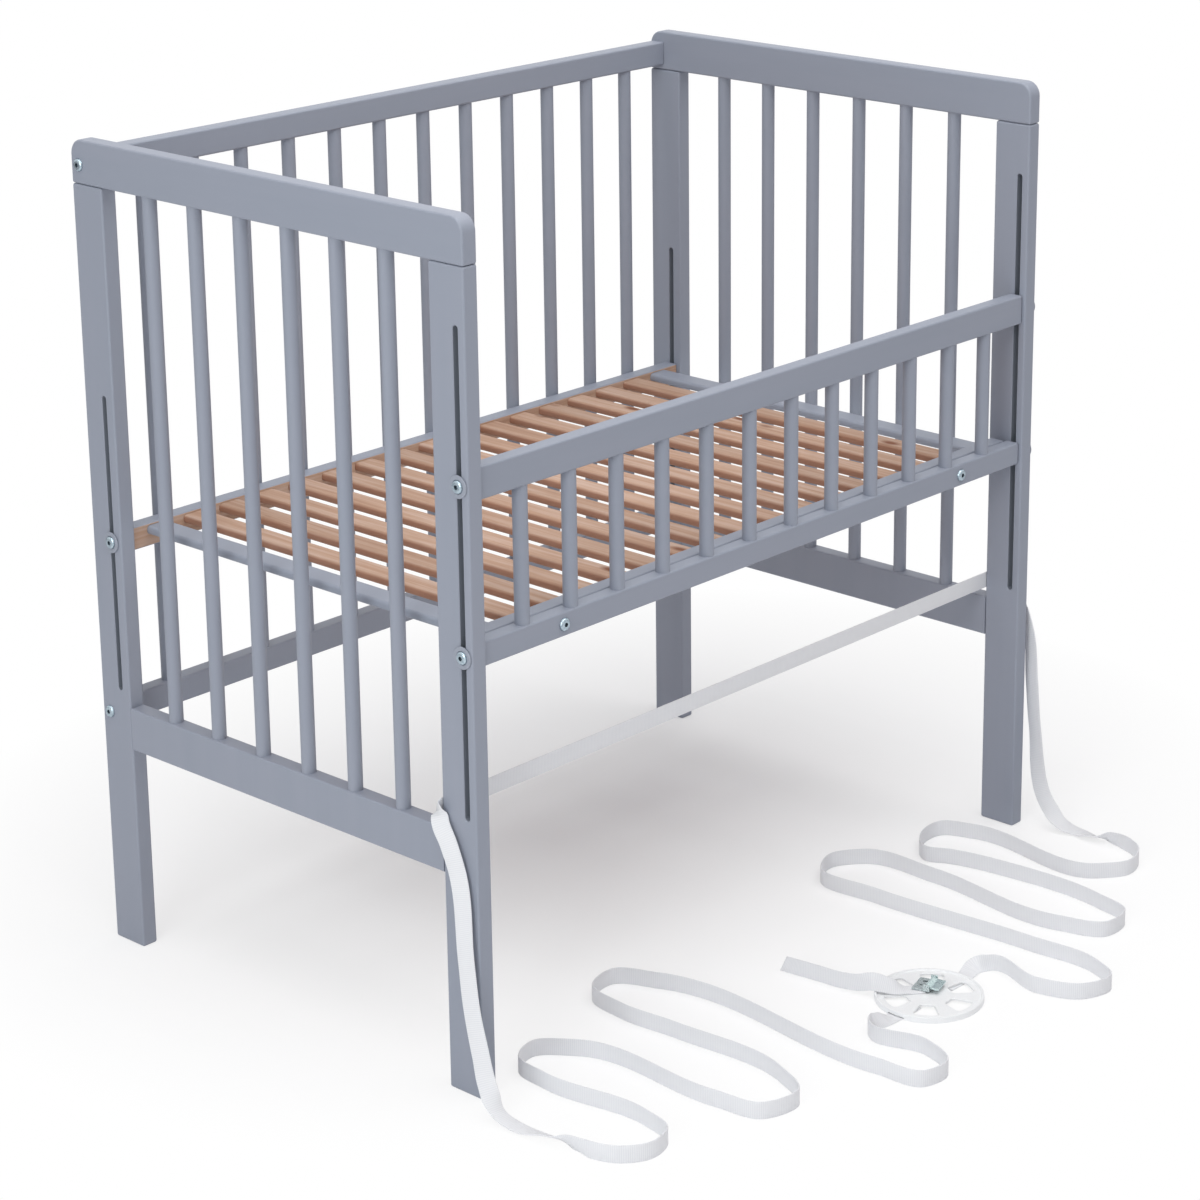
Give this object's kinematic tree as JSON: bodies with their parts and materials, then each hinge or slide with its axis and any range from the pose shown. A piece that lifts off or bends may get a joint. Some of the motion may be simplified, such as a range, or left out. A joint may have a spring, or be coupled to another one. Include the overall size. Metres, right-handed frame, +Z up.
{
  "type": "bedside crib",
  "caption": "Barred wooden crib that stands beside a bed, with a slatted base and low guard that slide in height slots, and a long strap with a tension disc and buckle.",
  "frame": {"origin": "on the floor, under the middle of the wooden crib", "axes": "+Z up, +X along the crib's length, the open side with the low guard towards -Y"},
  "size_m": [1.0034, 0.9487, 0.938],
  "materials": {
    "grey_paint": "opaque satin grey paint",
    "natural_wood": "planed, unpainted",
    "zinc_steel": "bright zinc plating",
    "grey_plastic": "matt",
    "white_plastic": "satin, slightly translucent",
    "white_webbing": "woven"
  },
  "bodies": {
    "frame": {"left_end_top_rail": "grey_paint", "left_end_bars": "grey_paint", "left_front_post": "grey_paint", "left_back_post": "grey_paint", "right_end_top_rail": "grey_paint", "right_end_bars": "grey_paint", "right_front_post": "grey_paint", "right_back_post": "grey_paint", "back_top_rail": "grey_paint", "back_bars": "grey_paint", "back_top_left_bolt": "zinc_steel", "back_top_right_bolt": "zinc_steel", "back_lower_left_bolt": "zinc_steel", "back_lower_right_bolt": "zinc_steel", "strap_span": "white_webbing", "strap_left": "white_webbing", "strap_right": "white_webbing", "strap_tail": "white_webbing", "tension_disc": "white_plastic", "buckle_frame": "zinc_steel", "buckle_pin": "zinc_steel"},
    "base": {"base_back_rail": "grey_paint", "base_front_rail": "grey_paint", "base_left_bar": "grey_paint", "slat_01": "natural_wood", "slat_02": "natural_wood", "slat_03": "natural_wood", "slat_04": "natural_wood", "slat_05": "natural_wood", "slat_06": "natural_wood", "slat_07": "natural_wood", "slat_08": "natural_wood", "slat_09": "natural_wood", "slat_10": "natural_wood", "slat_11": "natural_wood", "slat_12": "natural_wood", "slat_13": "natural_wood", "slat_14": "natural_wood", "slat_15": "natural_wood", "base_right_bar": "grey_paint", "guard_top_rail": "grey_paint", "guard_bars": "grey_paint", "guard_left_bolt": "zinc_steel", "guard_right_bolt": "zinc_steel", "left_front_upper_bolt": "zinc_steel", "left_front_upper_washer": "grey_plastic", "left_front_lower_bolt": "zinc_steel", "left_front_lower_washer": "grey_plastic", "left_back_bolt": "zinc_steel", "left_back_washer": "grey_plastic", "right_front_upper_bolt": "zinc_steel", "right_front_upper_washer": "grey_plastic", "right_front_lower_bolt": "zinc_steel", "right_front_lower_washer": "grey_plastic", "right_back_bolt": "zinc_steel", "right_back_washer": "grey_plastic"},
    "buckle_lever": {"buckle_lever": "zinc_steel"}
  },
  "joints": [
    {"name": "base_height", "type": "slide", "parent": "frame", "child": "base", "axis": [0, 0, 1], "range_m": [-0.158, 0.158]},
    {"name": "buckle_release", "type": "hinge", "parent": "frame", "child": "buckle_lever", "pos_m": [0.0259, -0.49922, 0.0121], "axis": [-0.9563, -0.2924, 0], "range_deg": [0, 50], "stiffness_Nm_per_rad": 0.05, "springref_deg": -11.46}
  ]
}
